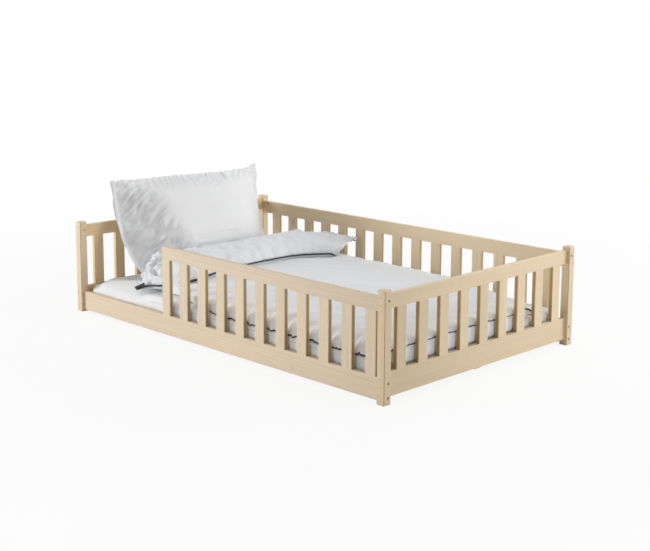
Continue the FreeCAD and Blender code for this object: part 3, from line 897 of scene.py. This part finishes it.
@dataclass
class Duvet(SewnCase):
    """A cotton duvet with a corded black edge, laid to the foot and turned back next to the pillow."""

    cells: tuple[int, int] = (150, 270)
    half_loft: float = 0.036
    flap_loft: float = 0.047
    fold_radius: float = 0.040
    least_turn: float = 0.08
    foot_reach: float = 0.0128
    fold_reach: float = 0.006
    # How far in from each edge the full loft is reached
    side_edge: float = 0.115
    flap_side_edge: float = 0.190
    foot_edge: float = 0.060
    foot_drop: float = 0.012
    hem_edge: float = 0.105
    corner_edge: float = 0.09
    front_seam_z: float = 0.161
    back_seam_z: float = 0.168
    # Shares of the length: lying flat, turned over, and hanging at the foot
    body_share: float = 0.70
    fold_share: float = 0.11
    skirt_share: float = 0.030
    skirt_z: float = 0.130
    sheet_gap: float = 0.0012
    sheet_rim: float = 0.026
    skirt_in: float = 0.0015
    skirt_wave: float = 0.002
    turn_gap: float = 0.003
    tuck: float = 0.092
    tuck_from: float = -0.36
    # How far the tucked front is drawn to the head: all of it, and more of it close to the sheet
    draw_back: Pair = (0.035, 0.030)
    drawn_in: Place = (0.020, 0.175, 0.0)
    # Where the draw starts: place across, place along
    drawn_from: Pair = (0.20, 0.42)
    # The bulges of the front side and of the lifted corner: depth, then reach
    front_bulge: Pair = (0.045, 0.10)
    ear_bulge: Pair = (0.060, 0.085)
    ear_rise: float = 0.018
    # Where each of these sets in, across or along: not at all at the first place, fully at the second
    front_bulges: Pair = (0.10, -0.15)
    ear_lifts: Pair = (0.25, 0.45)
    ear_bulges: Pair = (0.40, 0.52)
    tucked: Pair = (0.02, -0.42)
    turn_creased: Pair = (0.25, -0.10)
    front_cord_hides: Pair = (0.50, 0.56)
    hem_cord_hides: Pair = (0.40, 0.47)
    cord_radius: float = 0.0044
    cord_hidden: Place = (-0.014, -0.012, -0.012)
    bunch: Place = (-0.655, -0.500, 0.240)
    pinch: Place = (-0.570, -0.460, 0.360)
    drape: Creases = Creases(0.0038, (0.42, 0.050, 1.0), 3)
    swell: Creases = Creases(0.004, (0.26, 0.22, 0.20))
    rim_creases: Creases = Creases(0.009, (0.075, 0.075, 0.3), top=0.3, slope=1.0)
    turn_creases: Creases = Creases(0.015, (0.048, 0.040, 0.2), top=0.3, slope=1.8)
    flap_creases: Creases = Creases(0.012, (0.13, 0.085, 0.3), top=0.3, slope=1.0)
    bunch_creases: Creases = Creases(0.014, (0.075, 0.075, 0.16), top=0.5, slope=1.6)
    side_gathers: Gathers = Gathers(0.0100, 0.050)
    foot_gathers: Gathers = Gathers(0.0045, 0.040, start=3.1)
    hem_gathers: Gathers = Gathers(0.0035, 0.040, start=7.3)
    # How wide the creased rim is, and over what width it fades
    creased_rim: Pair = (0.05, 0.07)
    # The turned-back hem from the front edge to the back: place across, place along, height
    hem: Stations = (
        (-0.591, -0.598, 0.176),
        (-0.549, -0.557, 0.190),
        (-0.533, -0.483, 0.201),
        (-0.500, -0.425, 0.210),
        (-0.462, -0.322, 0.242),
        (-0.336, -0.342, 0.249),
        (-0.190, -0.380, 0.250),
        (0.220, -0.385, 0.250),
        (0.340, -0.338, 0.250),
        (0.435, -0.268, 0.252),
        (0.500, -0.300, 0.258),
        (0.560, -0.318, 0.286),
        (0.591, -0.285, 0.318),
    )
    sheet: Vector = field(init=False)
    half_width: float = field(init=False)
    foot_x: float = field(init=False)
    fold_x: float = field(init=False)

    def build(self) -> None:
        """Builds the duvet and its corded edge in place of the solid."""
        low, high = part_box("duvet")
        self.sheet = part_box("fitted_sheet")[1]
        self.half_width = high.y
        self.foot_x = high.x + self.foot_reach
        self.fold_x = low.x - self.fold_reach + self.fold_radius + self.half_loft
        shape = self.sew()
        for vertex in shape.verts:
            vertex.co.z = max(vertex.co.z, self._floor(vertex.co))
        cotton = CottonFinish(colour=(0.80, 0.815, 0.84), crease=0.003).material("duvet cotton")
        piece = make_piece("duvet_cover", shape, cotton)
        self._settle(piece)
        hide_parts("duvet")
        self._cord(piece)

    def spread(self, place: Vector) -> Place:
        """A point's place across, closer set towards the sides, its share along, and its layer."""
        share = 2 * place.x
        return self.half_width * (1.35 * share - 0.35 * share**3), place.y + 0.5, place.z

    def form(self, y: float, along: float, layer: float) -> Vector:
        """Where a point of the flat quilt lies once it is folded.

        Args:
            y: Place across the quilt.
            along: Share of the way from the foot to the turned-back hem.
            layer: 1 for the layer that is on top before the fold, -1 for the other.

        Returns:
            The point.
        """
        flap_start = self.body_share + self.fold_share
        side = self.half_width - abs(y)
        droop_z = self.front_seam_z if y < 0 else self.back_seam_z
        body_z = self.sheet.z + self.half_loft
        side_share = self._edge(side, self.side_edge)
        low_z = droop_z + (body_z - droop_z) * side_share
        rise_z = (body_z - low_z) * smooth(0.0, self.corner_edge, side)
        radius = self.fold_radius * max(side_share, self.least_turn)
        if along < self.body_share:
            share = (along / self.body_share) ** 1.15
            centre = Vector((self.foot_x + (self.fold_x - self.foot_x) * share, y, low_z))
            to_foot = self.foot_x - centre.x
            foot = self._edge(to_foot, self.foot_edge)
            centre.z += rise_z * (1 - foot)
            if layer < 0:
                foot = self._edge(to_foot, self.foot_drop)
            loft = self.half_loft * side_share * foot
            outward = Vector((0.0, 0.0, 1.0))
            if layer > 0 and y < 0:
                centre.y -= smooth(*self.front_bulges, centre.x) * self._bulge(self.front_bulge, side)
        elif along < flap_start:
            turn = math.pi * (along - self.body_share) / self.fold_share
            loft = (self.half_loft + (self.flap_loft - self.half_loft) * turn / math.pi) * side_share
            outward = Vector((math.sin(turn), 0.0, math.cos(turn)))
            centre = Vector((self.fold_x, y, low_z + radius)) - outward * radius
        else:
            share = (along - flap_start) / (1 - flap_start)
            hem_x, hem_z = through(self.hem, y)
            x = self.fold_x + (hem_x - self.fold_x) * share
            crest = low_z + 2 * radius
            flap_side = self._edge(side, self.side_edge if y < 0 else self.flap_side_edge)
            loft = self.flap_loft * min(side_share, flap_side)
            lifted = self.hem[-1][2] + self.ear_rise * flap_side - loft
            crest += (lifted - crest) * smooth(0.0, 0.4, share) * smooth(*self.ear_lifts, y)
            centre = Vector((x, y, crest + (hem_z - crest) * smooth(0.0, 1.0, share) ** 1.2))
            loft *= self._edge(hem_x - x, max(min(self.hem_edge, hem_x - self.fold_x), 0.02))
            outward = Vector((0.0, 0.0, -1.0))
            if layer < 0:
                centre.x += smooth(*self.ear_bulges, y) * self._bulge(self.ear_bulge, hem_x - x)
        if layer > 0 and along > self.body_share - 0.05:
            loft = min(loft, max(radius - self.turn_gap, 0.0))
        point = centre + outward * loft * layer
        if layer < 0 and along < 2 * self.skirt_share:
            hung = self._skirt(along / self.skirt_share, Vector((self.foot_x, y, low_z + rise_z)), point)
            point = point.lerp(hung, smooth(0.0, 0.06, side))
        front = smooth(self.tuck_from, -self.half_width, y) * smooth(*self.tucked, point.x)
        front *= 1 - smooth(1 - 0.75 * (1 - flap_start), 1.0, along)
        point.y += self.tuck * front
        low_down = smooth(self.sheet.z + 0.07, self.sheet.z + 0.01, point.z)
        point.x -= front * (self.draw_back[0] + self.draw_back[1] * low_down)
        point -= Vector(self.drawn_in) * self._drawn(y, point.x)
        point.z = max(point.z, self._floor(point))
        return point

    def _skirt(self, step: float, seam: Vector, under: Vector) -> Vector:
        """Where the lower layer hangs over the mattress's foot.

        Args:
            step: 0 at the seam, 1 at the lowest line, 2 where the layer lies under the quilt again.
            seam: The seam above the point.
            under: Where the point lies without hanging.

        Returns:
            The point.
        """
        lowest = Vector((seam.x - self.skirt_in, seam.y, self.skirt_z))
        if step < 1:
            soft = self.skirt_wave * math.sin(math.pi * step) * (1 + ripple(seam, (1.0, 0.07, 1.0)))
            return seam.lerp(lowest, step) + Vector((soft, 0.0, 0.0))
        back = lowest.lerp(under, (step - 1) ** 2)
        back.z = lowest.z + (under.z - lowest.z) * (step - 1)
        return back

    def _edge(self, distance: float, reach: float) -> float:
        """The share of the full loft at a distance from a sewn edge."""
        share = min(max(distance / reach, 0.0), 1.0)
        return math.sqrt(1 - (1 - share) ** 2)

    def _bulge(self, bulge: Pair, distance: float) -> float:
        """How far a side bulges.

        Args:
            bulge: The bulge's depth and reach.
            distance: The distance from the side's seam.

        Returns:
            How far the side stands out there.
        """
        depth, reach = bulge
        share = min(max(distance, 0.0) / reach, 1.0)
        return depth * math.sin(math.pi * share**0.7)

    def _drawn(self, y: float, x: float) -> float:
        """How far a place is drawn towards the front: 0 in front, 1 at the back corner of the foot."""
        return smooth(self.drawn_from[0], self.half_width, y) * smooth(self.drawn_from[1], self.foot_x, x)

    def _floor(self, place: Vector) -> float:
        """The lowest that the duvet can lie.

        Args:
            place: A place on the bed.

        Returns:
            The height of the sheet and its soft rim there; past the foot, the lowest hanging line.
        """
        rim = self.sheet_rim
        past = max(0.0, place.x - (self.sheet.x - rim))
        if past > rim:
            return self.skirt_z
        over = max(past, abs(place.y) - (self.sheet.y - rim), 0.0)
        return self.sheet.z + self.sheet_gap - (rim - math.sqrt(max(rim * rim - over * over, 0.0)))

    def wrinkle(self, flat: Vector, place: Vector) -> float:
        """How far the cotton stands out from the plain folded form.

        Args:
            flat: The point's place on the flat quilt: across, share along, layer.
            place: The point's place on the bed.

        Returns:
            The height along the surface's normal, which is 0 on the hidden side.
        """
        y, along, layer = flat
        if (layer > 0) != (along < self.body_share):
            return 0.0
        side = self.half_width - abs(y)
        height = self.drape.at(turned(place, 0.88, 0.47)) + self.swell.at(place)
        calm = 1 - smooth(0.0, 0.35, self._drawn(y, place.x))
        height += calm * self.side_gathers.at(side, place.x)
        if along < self.body_share:
            to_foot = self.foot_x - place.x
            past_rim = max(min(side, to_foot) - self.creased_rim[0], 0.0)
            creased = math.exp(-past_rim / self.creased_rim[1]) * self.rim_creases.at(place)
            height += calm * (self.foot_gathers.at(to_foot, place.y) + creased)
        else:
            to_hem = max(through(self.hem, y)[0] - place.x, 0.0)
            crest = math.exp(-(((place.x - self.fold_x + 0.03) / 0.09) ** 2)) * smooth(*self.turn_creased, y)
            height += self.hem_gathers.at(to_hem, place.y) + self.flap_creases.at(place)
            height += crest * self.turn_creases.at(place)
        return height + self._bunched(place) + self._pleated(place)

    def _bunched(self, place: Vector) -> float:
        """The crumpled cotton of the front corner, which fans out from a pinch above it.

        Args:
            place: The point's place on the bed.

        Returns:
            The height along the surface's normal.
        """
        near = 1 - smooth(0.07, 0.21, (place - Vector(self.bunch)).length)
        if near == 0:
            return 0.0
        warp = Vector((ripple(place, (0.11, 0.11, 0.11)), ripple(place, (0.13, 0.09, 0.12)), 0.0)) * 0.05
        height = self.bunch_creases.at(place + warp)
        away = place - Vector(self.pinch)
        wide = 0.7 * (away.x + away.y)
        fan = math.sin(21 * math.atan2(away.z, wide) + 3.6 * ripple(place, (0.07, 0.07, 0.07)))
        height += 0.017 * (0.5 - abs(fan)) * smooth(0.02, 0.08, math.hypot(wide, away.z))
        rising = Vector((0.82 * wide - 0.57 * away.z, 0.57 * wide + 0.82 * away.z, 1.0))
        falling = Vector((0.64 * wide + 0.77 * away.z, 0.77 * wide - 0.64 * away.z, 4.0))
        crossed = abs(ripple(rising, (0.030, 0.085, 1.0))) + abs(ripple(falling, (0.034, 0.10, 1.0)))
        return near * (height + 0.022 * (0.4 - crossed))

    def _pleated(self, place: Vector) -> float:
        """The pleats that fan out from the hem's lifted back corner.

        Args:
            place: The point's place on the bed.

        Returns:
            The height along the surface's normal.
        """
        y, x, z = self.hem[-1]
        reach = (place - Vector((x, y, z))).length
        near = (1 - smooth(0.05, 0.30, reach)) * smooth(0.0, 0.05, reach)
        phase = 7.5 * math.atan2(y - place.y, x - place.x) + 2.4 * ripple(place, (0.1, 0.1, 0.1))
        return 0.011 * near * (0.5 - abs(math.sin(phase)))

    def _settle(self, piece: Piece) -> None:
        """Lets the filling press the cotton out, with the sewn edge and the underside held.

        Args:
            piece: The duvet's cover.
        """
        held = piece.vertex_groups.new(name="held")
        flat = piece.data.attributes["flat"].data
        for vertex in piece.data.vertices:
            across, along, layer = flat[vertex.index].vector
            sewn = self.half_width - abs(across) < SAME or along < SAME or along > 1 - SAME
            if sewn or (layer > 0) != (along < self.body_share):
                held.add([vertex.index], 1.0, "REPLACE")
        ClothRun(pressure=1.5, frames=12, most=0.006).settle(piece, held="held")

    def _cord(self, cover: Piece) -> None:
        """Runs a black cord round the sewn edge: along the front, the hem, the back and the foot.

        Args:
            cover: The duvet's cover.
        """
        # Rows of the side, the place along it, the point and how thick the cord is there
        path: list[tuple[int, float, Vector, float]] = []
        hidden = Vector(self.cord_hidden)
        flat = cover.data.attributes["flat"].data
        for vertex in cover.data.vertices:
            across, along, _ = flat[vertex.index].vector
            if along > 1 - SAME:
                clear = Vector((0.004, -0.009 * smooth(-0.43, -0.49, across), 0.0055))
                step = clear.lerp(hidden, smooth(*self.hem_cord_hides, across))
                thick = 1 + 0.9 * smooth(-0.54, -0.588, across)
                thick += 0.4 * smooth(-0.56, -0.48, across) * smooth(-0.26, -0.34, across)
                path.append((1, across, vertex.co + step, thick))
            elif along < SAME:
                path.append((3, -across, vertex.co + Vector((-0.0025, 0.0, 0.0)), 1.0))
            elif abs(across + self.half_width) < SAME:
                under = smooth(*self.front_cord_hides, along)
                step = Vector((0.0, 0.0025 + 0.022 * under, 0.012 * under))
                path.append((0, along, vertex.co + step, 1.0))
            elif abs(across - self.half_width) < SAME:
                under = smooth(self.body_share, self.body_share + self.fold_share, along)
                path.append((2, -along, vertex.co + hidden * under, 1.0))
        path.sort(key=lambda entry: entry[:2])
        line = bpy.data.curves.new("cord line", "CURVE")
        line.dimensions = "3D"
        line.bevel_depth = self.cord_radius
        line.bevel_resolution = 2
        spline = line.splines.new("POLY")
        spline.points.add(len(path) - 1)
        spline.use_cyclic_u = True
        for point, (_, _, place, thick) in zip(spline.points, path):
            point.co = (*place, 1.0)
            point.radius = thick
        guide = bpy.data.objects.new("cord line", line)
        shape = bmesh.new()
        shape.from_mesh(guide.to_mesh())
        bpy.data.objects.remove(guide)
        bpy.data.curves.remove(line)
        make_piece("duvet_piping", shape, PipingFinish().material("black cord"))


@dataclass
class Pillow(SewnCase):
    """A large soft pillow that stands on the sheet and leans back on the head rail."""

    cells: tuple[int, int] = (150, 96)
    size: Pair = (0.98, 0.56)
    lean: float = math.radians(24.0)
    # The sewn sides from the bottom to the top: share of the height, then the place
    left: Stations = (
        (0.00, -0.770, -0.425, 0.172),
        (0.30, -0.862, -0.450, 0.290),
        (0.65, -0.952, -0.458, 0.460),
        (1.00, -0.996, -0.462, 0.654),
    )
    right: Stations = (
        (0.00, -0.800, 0.450, 0.172),
        (0.30, -0.865, 0.475, 0.290),
        (0.65, -0.935, 0.500, 0.460),
        (1.00, -0.993, 0.545, 0.660),
    )
    # How far the top edge sags between its corners: share of the width, then the drop
    sag: Stations = (
        (0.00, 0.000),
        (0.16, 0.012),
        (0.46, 0.020),
        (0.71, 0.031),
        (0.84, 0.029),
        (0.93, 0.023),
        (1.00, 0.000),
    )
    # The filling from the bottom to the top: share of the height, then its depth in front and behind
    filling: Stations = (
        (0.00, 0.000, 0.000),
        (0.05, 0.084, 0.028),
        (0.15, 0.164, 0.062),
        (0.30, 0.192, 0.085),
        (0.50, 0.166, 0.072),
        (0.70, 0.132, 0.048),
        (0.85, 0.090, 0.026),
        (1.00, 0.000, 0.000),
    )
    # How far the shaded left part reaches: share of the height, then share of the width
    facet: Stations = ((0.0, 0.28), (0.6, 0.28), (0.75, 0.26), (0.9, 0.20), (1.0, 0.12))
    ridge: float = 0.20
    right_reach: float = 0.38
    swell: Creases = Creases(0.004, (0.24, 0.20, 1.0))
    dent: Pair = (0.735, 0.525)

    def build(self) -> None:
        """Builds the pillow in place of its solid."""
        cotton = CottonFinish(colour=(0.80, 0.805, 0.815), crease=0.002).material("pillow cotton")
        piece = make_piece("pillow_cover", self.sew(), cotton)
        ClothRun(pressure=2.5, frames=16, most=0.010).settle(piece)
        self._clear(piece)
        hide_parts("pillow")

    def form(self, across: float, up: float, layer: float) -> Vector:
        """Where a point of the flat case lies on the filled pillow.

        Args:
            across: Share of the way from the left side to the right.
            up: Share of the way from the bottom edge to the top.
            layer: 1 for the front of the case, -1 for its back.

        Returns:
            The point.
        """
        seam = Vector(through(self.left, up)).lerp(Vector(through(self.right, up)), across)
        seam.z -= through(self.sag, across)[0] * up**3
        front, back = through(self.filling, up)
        out = Vector((math.cos(self.lean), 0.0, math.sin(self.lean)))
        if layer < 0:
            return seam - out * back * (1 - (2 * across - 1) ** 4)
        left_rise = self._ramp(across / through(self.facet, up)[0])
        right_rise = 1 - (1 - min((1 - across) / self.right_reach, 1.0)) ** 2.2
        return seam + out * front * left_rise * right_rise

    def _ramp(self, share: float) -> float:
        """An even rise to 1 across the shaded side, rounded over at its ridge.

        Args:
            share: Share of the way from the side's seam to the ridge.

        Returns:
            The share of the full depth.
        """
        short = max(1 + self.ridge - share, 0.0)
        even = share if share < 1 - self.ridge else 1 - short * short / (4 * self.ridge)
        return 0.72 * even + 0.28 * (1 - (1 - min(share, 1.0)) ** 1.8)

    def wrinkle(self, flat: Vector, place: Vector) -> float:
        """How far the cotton stands out from the plain filled form.

        Args:
            flat: The point's place on the flat case: share across, share up, layer.
            place: The point's place on the bed.

        Returns:
            The height along the surface's normal.
        """
        across, up, layer = flat
        wide, high = across * self.size[0], up * self.size[1]
        spot = Vector((wide, high, 2.0 * layer))
        top = math.exp(-(self.size[1] - high) / 0.045)
        phase = wide / 0.037 - high / 0.09 + 1.4 * ripple(spot, (0.13, 0.2, 1.0))
        height = self.swell.at(spot) + 0.0060 * top * (abs(math.sin(math.pi * phase)) - 0.6)
        if layer > 0:
            share = across / through(self.facet, up)[0]
            shaded = smooth(0.02, 0.18, share) * (1 - smooth(0.60, 1.05, share)) * smooth(0.0, 0.12, up)
            slant = Vector((0.60 * wide - 0.80 * high, 0.80 * wide + 0.60 * high, 0.0))
            slant.x += 0.02 * ripple(spot, (0.15, 0.15, 1.0))
            broad, fine = ripple(slant, (0.058, 0.26, 1.0)), ripple(slant, (0.032, 0.13, 2.0))
            height += shaded * (1.5 - 0.5 * up) * (0.009 - 0.018 * abs(broad) - 0.014 * abs(fine))
            dent = math.hypot((wide - self.dent[0]) / 0.016, (high - self.dent[1]) / 0.032)
            height -= 0.010 * math.exp(-dent * dent)
        return height

    def _clear(self, piece: Piece) -> None:
        """Keeps the settled pillow off the sheet and off the head's top rail.

        Args:
            piece: The pillow's cover.
        """
        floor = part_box("fitted_sheet")[1].z + 0.0015
        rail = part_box("head_top_rail")[1]
        for vertex in piece.data.vertices:
            vertex.co.z = max(vertex.co.z, floor)
            if vertex.co.z < rail.z + 0.004:
                vertex.co.x = max(vertex.co.x, rail.x + 0.002)
        piece.data.update()


@dataclass
class Studio:
    """A pale floor, plain soft light and the camera at the photograph's angle."""

    camera_at: Place = (4.0930, -4.0708, 1.5521)
    camera_turn: float = math.radians(46.390)
    camera_dip: float = math.radians(9.091)
    lens: float = 68.232
    shift: Pair = (0.06, -0.12)
    ambient: float = 0.345
    narrow: float = math.radians(80.0)

    def build(self) -> None:
        """Sets up the floor, lights, world and camera."""
        self._floor()
        self._world()
        self._lamp("overhead softbox", (0.2, 0.8, 3.2), (0.0, 0.1, 0.2), (2.6, 2.6), 40.0)
        self._lamp("right softbox", (3.2, 3.6, 1.6), (0.0, 0.2, 0.2), (2.2, 2.2), 110.0)
        self._lamp("left softbox", (-3.8, -3.8, 0.9), (0.3, -0.5, 0.2), (1.7, 1.7), 142.0)
        self._lamp("front fill", (0.4, -2.3, 0.15), (0.4, 0.0, 0.15), (1.6, 0.3), 1.2, self.narrow)
        self._lamp("foot fill", (2.9, 0.3, 0.15), (0.0, 0.3, 0.15), (1.4, 0.3), 1.6, self.narrow)
        lens = bpy.data.cameras.new("camera")
        lens.lens = self.lens
        lens.sensor_fit = "HORIZONTAL"
        lens.shift_x, lens.shift_y = self.shift
        camera = bpy.data.objects.new("camera", lens)
        camera.location = self.camera_at
        camera.rotation_euler = (math.pi / 2 - self.camera_dip, 0.0, self.camera_turn)
        bpy.context.scene.collection.objects.link(camera)
        bpy.context.scene.camera = camera
        bpy.context.scene.view_settings.view_transform = "Standard"

    def _floor(self) -> None:
        """Makes the floor: pale, white to the camera, and keeping a soft shadow."""
        shape = bmesh.new()
        bmesh.ops.create_circle(shape, cap_ends=True, segments=64, radius=40.0)
        mesh = bpy.data.meshes.new("floor")
        shape.to_mesh(mesh)
        shape.free()
        floor = bpy.data.objects.new("floor", mesh)
        bpy.context.scene.collection.objects.link(floor)
        s = Shader(bpy.data.materials.new("floor"))
        away = s.add("VectorMath", {0: s.here()}, operation="LENGTH").outputs["Value"]
        shown = s.math("MULTIPLY", s.seen(), s.span(away, 1.2, 4.0, 0.89, 1.0))
        matt = s.add("BsdfDiffuse", {"Color": (0.86, 0.86, 0.86, 1.0)}).outputs[0]
        white = s.add("Emission", {"Color": WHITE, "Strength": 1.0}).outputs[0]
        blend = s.add("MixShader", {0: shown, 1: matt, 2: white}).outputs[0]
        s.add("OutputMaterial", {"Surface": blend})
        mesh.materials.append(s.owner)

    def _world(self) -> None:
        """Lights the bed evenly from all round, and shows white behind it."""
        s = Shader(bpy.data.worlds.new("studio"))
        strength = s.add("Mix", {0: s.seen(), 2: self.ambient, 3: 1.0}).outputs[0]
        back = s.add("Background", {"Color": WHITE, "Strength": strength}).outputs[0]
        s.add("OutputWorld", {"Surface": back})
        bpy.context.scene.world = s.owner

    def _lamp(
        self, name: str, at: Place, towards: Place, size: Pair, watts: float, spread: float = math.pi
    ) -> None:
        """Adds one softbox.

        Args:
            name: The lamp's name.
            at: Where it hangs.
            towards: The point that it faces.
            size: Its width and height.
            watts: Its power.
            spread: The angle that its light spreads over.
        """
        light = bpy.data.lights.new(name, "AREA")
        light.shape = "RECTANGLE"
        light.size, light.size_y = size
        light.energy = watts
        light.spread = spread
        lamp = bpy.data.objects.new(name, light)
        lamp.location = at
        facing = Vector(towards) - Vector(at)
        lamp.rotation_euler = facing.to_track_quat("-Z", "Y").to_euler()
        bpy.context.scene.collection.objects.link(lamp)


def main() -> None:
    """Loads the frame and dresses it."""
    logging.basicConfig(level=logging.INFO, format="%(name)s %(message)s")
    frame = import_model()
    Studio().build()
    Timber(frame["nodes"]).dress()
    Fittings(frame["nodes"]).dress()
    Mattress().build()
    Duvet().build()
    Pillow().build()


if __name__ == "__main__":
    main()
